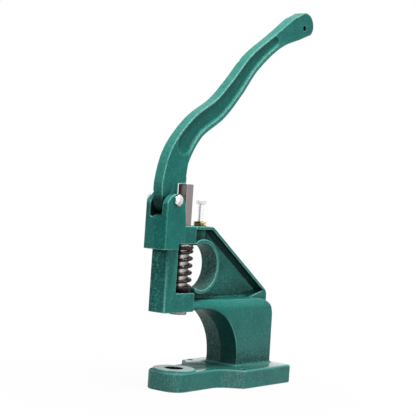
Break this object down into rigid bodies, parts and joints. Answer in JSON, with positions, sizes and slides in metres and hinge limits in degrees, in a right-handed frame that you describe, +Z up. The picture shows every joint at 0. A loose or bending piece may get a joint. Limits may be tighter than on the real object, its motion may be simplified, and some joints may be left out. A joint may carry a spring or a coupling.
{
  "type": "eyelet machine",
  "caption": "Hand-lever bench press for eyelets: C-shaped cast frame with ringed gusset, fork-mounted lever, square spring-returned ram and adjustable stop bolt.",
  "frame": {"origin": "centre of the lower die bore, on the underside of the base", "axes": "+X back from the open front to the neck, +Y to the far side of the picture (the pivot nut's side), +Z up"},
  "size_m": [0.2674, 0.0914, 0.4386],
  "materials": {
    "green_enamel": "glossy hammered enamel on cast iron",
    "bare_steel": "ground, oiled",
    "plated_steel": "bright zinc plating",
    "spring_steel": "dark oiled spring wire",
    "yellow_plating": "yellow passivated"
  },
  "bodies": {
    "frame": {"frame_casting": "green_enamel", "pivot_bolt": "plated_steel", "pivot_washer": "plated_steel", "pivot_nut": "plated_steel", "adjusting_bolt": "plated_steel", "lock_nut": "yellow_plating"},
    "lever": {"handle_lever": "green_enamel"},
    "ram": {"ram_shaft": "bare_steel", "die_holder": "bare_steel", "spring_washer": "bare_steel", "return_spring": "spring_steel"}
  },
  "joints": [
    {"name": "lever_pivot", "type": "hinge", "parent": "frame", "child": "lever", "pos_m": [-0.0326, 0, 0.2045], "axis": [0, 1, 0], "range_deg": [0, 30]},
    {"name": "ram_slide", "type": "slide", "parent": "frame", "child": "ram", "axis": [0, 0, -1], "range_m": [0, 0.01624], "stiffness_N_per_m": 20000, "springref_m": -0.003, "deforming": ["return_spring"]}
  ],
  "couplings": [
    {"joint": "ram_slide", "follows": "lever_pivot", "m_per_rad": 0.031}
  ]
}
